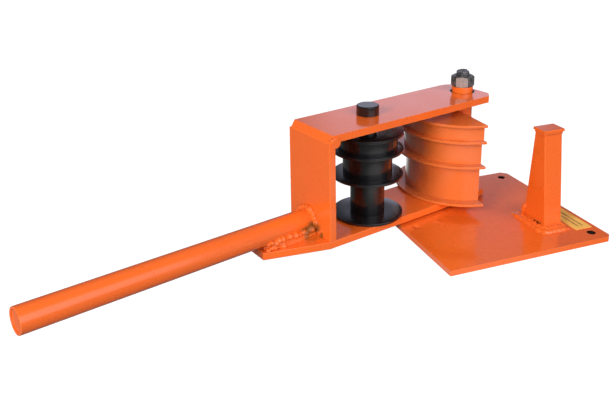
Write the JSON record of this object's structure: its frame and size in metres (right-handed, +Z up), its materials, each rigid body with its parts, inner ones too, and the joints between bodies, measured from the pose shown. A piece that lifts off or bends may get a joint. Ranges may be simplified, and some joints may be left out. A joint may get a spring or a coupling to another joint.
{
  "type": "hand tube bender",
  "caption": "Bench tool that bends tube: a half-round die with stacked grooves on a base plate, and a yoke with a matching grooved roller that swings round it by a welded lever.",
  "frame": {"origin": "on the centre shaft's axis at the base plate's underside", "axes": "+Z up along the centre shaft, +X along the base plate's front edge to the right, +Y to the back"},
  "size_m": [0.6073, 0.2596, 0.1607],
  "materials": {
    "orange_paint": "glossy orange powder coat",
    "black_steel": "satin black turned steel",
    "bare_steel": "worn zinc-plated steel",
    "bush_bronze": "dark oiled bronze",
    "label_yellow": "satin yellow label"
  },
  "bodies": {
    "base": {"base_plate": "orange_paint", "stop_post": "orange_paint", "stop_post_cap": "orange_paint", "stop_post_weld": "orange_paint", "label_plate": "label_yellow", "centre_shaft": "orange_paint", "centre_stud": "bare_steel", "centre_nut": "bare_steel", "spacer_ring": "bare_steel", "die_flange_bottom": "orange_paint", "die_core_low": "orange_paint", "die_flange_lower": "orange_paint", "die_core_middle": "orange_paint", "die_flange_upper": "orange_paint", "die_core_high": "orange_paint", "die_flange_top": "orange_paint", "die_weld": "orange_paint"},
    "yoke": {"yoke_bottom_plate": "orange_paint", "yoke_top_plate": "orange_paint", "yoke_end_plate": "orange_paint", "yoke_corner_weld": "orange_paint", "yoke_lower_bush": "bush_bronze", "yoke_upper_bush": "bush_bronze", "lever_tube": "orange_paint", "lever_plug": "orange_paint", "lever_ring_weld": "orange_paint", "lever_side_weld": "orange_paint"},
    "roller": {"roller_flange_bottom": "black_steel", "roller_drum_low": "black_steel", "roller_flange_lower": "black_steel", "roller_drum_middle": "black_steel", "roller_flange_upper": "black_steel", "roller_drum_high": "black_steel", "roller_flange_top": "black_steel"},
    "pin": {"roller_pin": "black_steel"}
  },
  "joints": [
    {"name": "lever_swing", "type": "hinge", "parent": "base", "child": "yoke", "pos_m": [0, 0, 0.0125], "axis": [0, 0, 1], "range_deg": [-215, 60]},
    {"name": "roller_spin", "type": "hinge", "parent": "yoke", "child": "roller", "pos_m": [-0.14216, -0.03743, 0.0168], "axis": [0, 0, 1], "continuous": true},
    {"name": "pin_lift", "type": "slide", "parent": "yoke", "child": "pin", "axis": [0, 0, 1], "range_m": [0, 0.14]}
  ]
}
